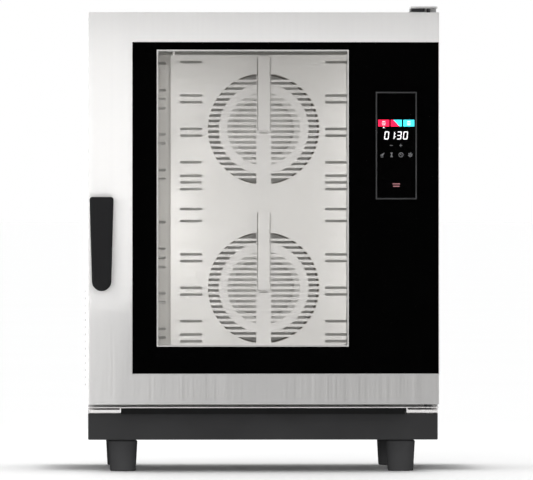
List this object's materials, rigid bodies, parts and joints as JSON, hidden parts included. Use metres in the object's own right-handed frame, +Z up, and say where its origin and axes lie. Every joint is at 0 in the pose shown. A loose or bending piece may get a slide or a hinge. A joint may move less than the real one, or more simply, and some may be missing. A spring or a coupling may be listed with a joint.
{
  "type": "combi steamer oven",
  "caption": "Free-standing combi steamer oven with a glass door hinged on the right, a turning handle, a touch panel in the door, fan baffle and lift-off tray racks.",
  "frame": {"origin": "on the floor, under the middle of the oven's bounding box", "axes": "+X to the right seen from the front, +Y to the back, +Z up"},
  "size_m": [0.76, 0.73, 1.01],
  "materials": {
    "stainless": "brushed along the long direction",
    "bright_steel": "smooth satin",
    "chamber_steel": "satin, cleaned by wiping",
    "baffle_steel": "fine matt",
    "heater_metal": "oxidised",
    "dark_steel": "blackened",
    "motor_metal": "cast",
    "galvanised": "zinc coated",
    "plinth_paint": "satin dark grey",
    "gutter_black": "matt black",
    "foot_metal": "satin dark grey",
    "seal_rubber": "matt",
    "mineral_wool": "loose fibre",
    "brass": "turned",
    "black_plastic": "fine texture",
    "handle_plastic": "soft-touch",
    "pale_plastic": "moulded",
    "bush_plastic": "moulded",
    "door_glass": "tinted, polished",
    "clear_glass": "polished",
    "led_lens": "frosted, lit"
  },
  "bodies": {
    "cabinet": {"base_plinth": "plinth_paint", "bottom_panel": "stainless", "left_side_panel": "stainless", "right_side_panel": "stainless", "top_panel": "stainless", "rear_panel": "stainless", "front_frame": "stainless", "latch_strike": "bright_steel", "cavity_left_wall": "chamber_steel", "cavity_right_wall": "chamber_steel", "cavity_ceiling": "chamber_steel", "cavity_floor": "chamber_steel", "cavity_back_wall": "chamber_steel", "insulation_slabs": "mineral_wool", "door_gasket": "seal_rubber", "fan_baffle": "baffle_steel", "water_channel_covers": "baffle_steel", "injector_tubes": "bright_steel", "baffle_hangers": "bright_steel", "ring_heaters": "heater_metal", "fan_motors": "motor_metal", "rack_pegs": "bright_steel", "drain_strainer": "bright_steel", "drain_pipe": "bright_steel", "exhaust_pipe": "bright_steel", "damper_motor": "black_plastic", "control_box": "galvanised", "contactors": "pale_plastic", "solenoid_valves": "brass", "cable_gland": "black_plastic", "case_screws": "bright_steel", "upper_hinge_plate": "stainless", "hinge_pad": "black_plastic", "hinge_pins": "dark_steel", "lower_hinge_plates": "stainless", "door_sill": "bright_steel", "drip_gutter": "gutter_black"},
    "door": {"door_skin": "stainless", "door_glass_outer": "door_glass", "door_inner_panel": "stainless", "door_glass_inner": "clear_glass", "glass_clips": "bright_steel", "door_led_strips": "led_lens", "touch_panel_module": "black_plastic", "hinge_bushes": "bush_plastic", "latch_case": "galvanised"},
    "handle": {"handle_grip": "handle_plastic", "handle_spindle": "dark_steel", "latch_cam": "bright_steel"},
    "upper_fan": {"fan_wheel_upper": "chamber_steel"},
    "lower_fan": {"fan_wheel_lower": "chamber_steel"},
    "left_rack": {"left_rack_posts": "chamber_steel", "left_rack_runners": "bright_steel"},
    "right_rack": {"right_rack_posts": "chamber_steel", "right_rack_runners": "bright_steel"},
    "damper": {"damper_flap": "bright_steel"},
    "foot_1": {"foot_front_left": "foot_metal"},
    "foot_2": {"foot_front_right": "foot_metal"},
    "foot_3": {"foot_rear_left": "foot_metal"},
    "foot_4": {"foot_rear_right": "foot_metal"}
  },
  "joints": [
    {"name": "door_hinge", "type": "hinge", "parent": "cabinet", "child": "door", "pos_m": [0.358, -0.286, 0.55], "axis": [0, 0, 1], "range_deg": [0, 120]},
    {"name": "handle_turn", "type": "hinge", "parent": "door", "child": "handle", "pos_m": [-0.352, -0.315, 0.571], "axis": [0, -1, 0], "range_deg": [0, 50]},
    {"name": "upper_fan_spin", "type": "hinge", "parent": "cabinet", "child": "upper_fan", "pos_m": [0.013, 0.16, 0.749], "axis": [0, 1, 0], "continuous": true},
    {"name": "lower_fan_spin", "type": "hinge", "parent": "cabinet", "child": "lower_fan", "pos_m": [0.013, 0.16, 0.397], "axis": [0, 1, 0], "continuous": true},
    {"name": "left_rack_lift", "type": "slide", "parent": "cabinet", "child": "left_rack", "axis": [0, 0, 1], "range_m": [0, 0.012]},
    {"name": "right_rack_lift", "type": "slide", "parent": "cabinet", "child": "right_rack", "axis": [0, 0, 1], "range_m": [0, 0.012]},
    {"name": "damper_turn", "type": "hinge", "parent": "cabinet", "child": "damper", "pos_m": [-0.25, 0.225, 0.976], "axis": [1, 0, 0], "range_deg": [0, 90]},
    {"name": "foot_front_left_screw", "type": "slide", "parent": "cabinet", "child": "foot_1", "axis": [0, 0, -1], "range_m": [0, 0.02]},
    {"name": "foot_front_right_screw", "type": "slide", "parent": "cabinet", "child": "foot_2", "axis": [0, 0, -1], "range_m": [0, 0.02]},
    {"name": "foot_rear_left_screw", "type": "slide", "parent": "cabinet", "child": "foot_3", "axis": [0, 0, -1], "range_m": [0, 0.02]},
    {"name": "foot_rear_right_screw", "type": "slide", "parent": "cabinet", "child": "foot_4", "axis": [0, 0, -1], "range_m": [0, 0.02]}
  ]
}
